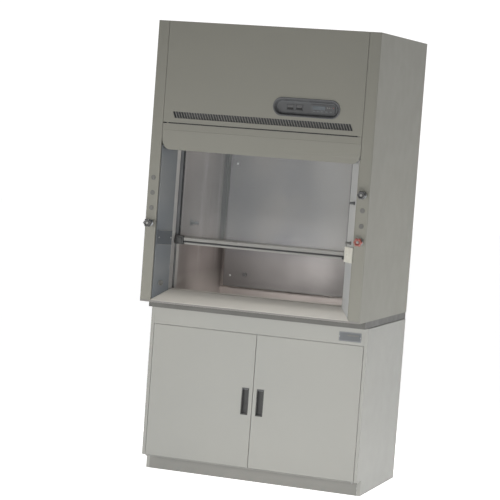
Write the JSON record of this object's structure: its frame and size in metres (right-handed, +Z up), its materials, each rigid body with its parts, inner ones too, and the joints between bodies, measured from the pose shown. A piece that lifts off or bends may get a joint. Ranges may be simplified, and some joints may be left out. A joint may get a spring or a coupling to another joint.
{
  "type": "fume hood",
  "caption": "Bench fume hood with part-open sliding glass sash, bypass grille, control recess and service knobs, standing on a two-door base cabinet.",
  "frame": {"origin": "on the floor, under the middle of the object's overall box", "axes": "+Z up, front at -Y, +X to the right of someone facing the front"},
  "size_m": [1.2192, 0.986, 2.441],
  "materials": {
    "shell": "satin pearl grey powder coat",
    "cabinet": "satin pearl grey powder coat",
    "plinth": "satin pearl grey powder coat, in shade",
    "worktop": "matt dark grey epoxy resin",
    "liner": "satin stainless sheet",
    "sill": "light cream satin coat",
    "dark_trim": "charcoal",
    "sash_frame": "dark anodised",
    "handle": "pale satin",
    "glass": "clear",
    "knob_black": "black",
    "knob_red": "red",
    "outlet": "cream",
    "steel": "plain steel",
    "lamp": "white lamp tube"
  },
  "bodies": {
    "hood_and_cabinet": {"cabinet_left_side": "cabinet", "cabinet_right_side": "cabinet", "cabinet_back": "cabinet", "cabinet_floor": "cabinet", "cabinet_top_rail": "cabinet", "cabinet_rear_rail": "cabinet", "cabinet_plinth": "plinth", "cabinet_shelf": "cabinet", "nameplate_blank": "dark_trim", "left_pivot_lower": "steel", "right_pivot_lower": "steel", "left_pivot_upper": "steel", "right_pivot_upper": "steel", "work_surface": "worktop", "left_side_panel": "shell", "right_side_panel": "shell", "back_panel": "shell", "roof_panel": "shell", "exhaust_collar": "steel", "front_panel": "shell", "bypass_grille": "dark_trim", "header_apron": "shell", "left_jamb": "liner", "right_jamb": "liner", "left_track": "liner", "right_track": "liner", "airfoil_sill": "sill", "left_liner": "liner", "right_liner": "liner", "back_liner": "liner", "chamber_roof": "liner", "lower_baffle": "liner", "upper_baffle": "liner", "lamp_housing": "shell", "lamp_cover": "glass", "lamp_tube": "lamp", "control_bezel": "dark_trim", "airflow_monitor": "dark_trim", "left_valve": "steel", "upper_right_valve": "steel", "lower_right_valve": "steel", "left_nozzle": "dark_trim", "left_cover_plate": "liner", "right_outlet_plate": "outlet", "upper_right_outlet": "dark_trim", "lower_right_outlet": "dark_trim"},
    "sash": {"sash_frame": "sash_frame", "sash_glass": "glass", "sash_handle": "handle"},
    "counterweight": {"counterweight": "steel"},
    "left_door": {"left_door": "cabinet", "left_door_pull": "dark_trim"},
    "right_door": {"right_door": "cabinet", "right_door_pull": "dark_trim"},
    "left_valve_knob": {"left_knob": "knob_black"},
    "upper_right_valve_knob": {"upper_right_knob": "knob_black"},
    "lower_right_valve_knob": {"lower_right_knob": "knob_red"},
    "baffle_knob": {"baffle_knob": "knob_black"},
    "blower_switch": {"blower_switch": "knob_black"},
    "light_switch": {"light_switch": "knob_black"}
  },
  "joints": [
    {"name": "sash_slide", "type": "slide", "parent": "hood_and_cabinet", "child": "sash", "axis": [0, 0, 1], "range_m": [-0.243, 0.385]},
    {"name": "counterweight_slide", "type": "slide", "parent": "hood_and_cabinet", "child": "counterweight", "axis": [0, 0, 1], "range_m": [-0.385, 0.243]},
    {"name": "left_door_hinge", "type": "hinge", "parent": "hood_and_cabinet", "child": "left_door", "pos_m": [-0.5806, -0.253, 0.44], "axis": [0, 0, -1], "range_deg": [0, 110]},
    {"name": "right_door_hinge", "type": "hinge", "parent": "hood_and_cabinet", "child": "right_door", "pos_m": [0.5806, -0.253, 0.44], "axis": [0, 0, 1], "range_deg": [0, 110]},
    {"name": "left_valve_turn", "type": "hinge", "parent": "hood_and_cabinet", "child": "left_valve_knob", "pos_m": [-0.5788, -0.479, 1.352], "axis": [0, -1, 0], "range_deg": [0, 360]},
    {"name": "upper_right_valve_turn", "type": "hinge", "parent": "hood_and_cabinet", "child": "upper_right_valve_knob", "pos_m": [0.5788, -0.479, 1.592], "axis": [0, -1, 0], "range_deg": [0, 360]},
    {"name": "lower_right_valve_turn", "type": "hinge", "parent": "hood_and_cabinet", "child": "lower_right_valve_knob", "pos_m": [0.5788, -0.479, 1.352], "axis": [0, -1, 0], "range_deg": [0, 360]},
    {"name": "baffle_knob_turn", "type": "hinge", "parent": "hood_and_cabinet", "child": "baffle_knob", "pos_m": [-0.31, 0.357, 1.061], "axis": [0, -1, 0], "range_deg": [-180, 180]},
    {"name": "blower_switch_rock", "type": "hinge", "parent": "hood_and_cabinet", "child": "blower_switch", "pos_m": [0.147, -0.424, 2.012], "axis": [1, 0, 0], "range_deg": [0, 12]},
    {"name": "light_switch_rock", "type": "hinge", "parent": "hood_and_cabinet", "child": "light_switch", "pos_m": [0.195, -0.424, 2.012], "axis": [1, 0, 0], "range_deg": [0, 12]}
  ],
  "couplings": [
    {"joint": "counterweight_slide", "follows": "sash_slide", "ratio": -1}
  ]
}
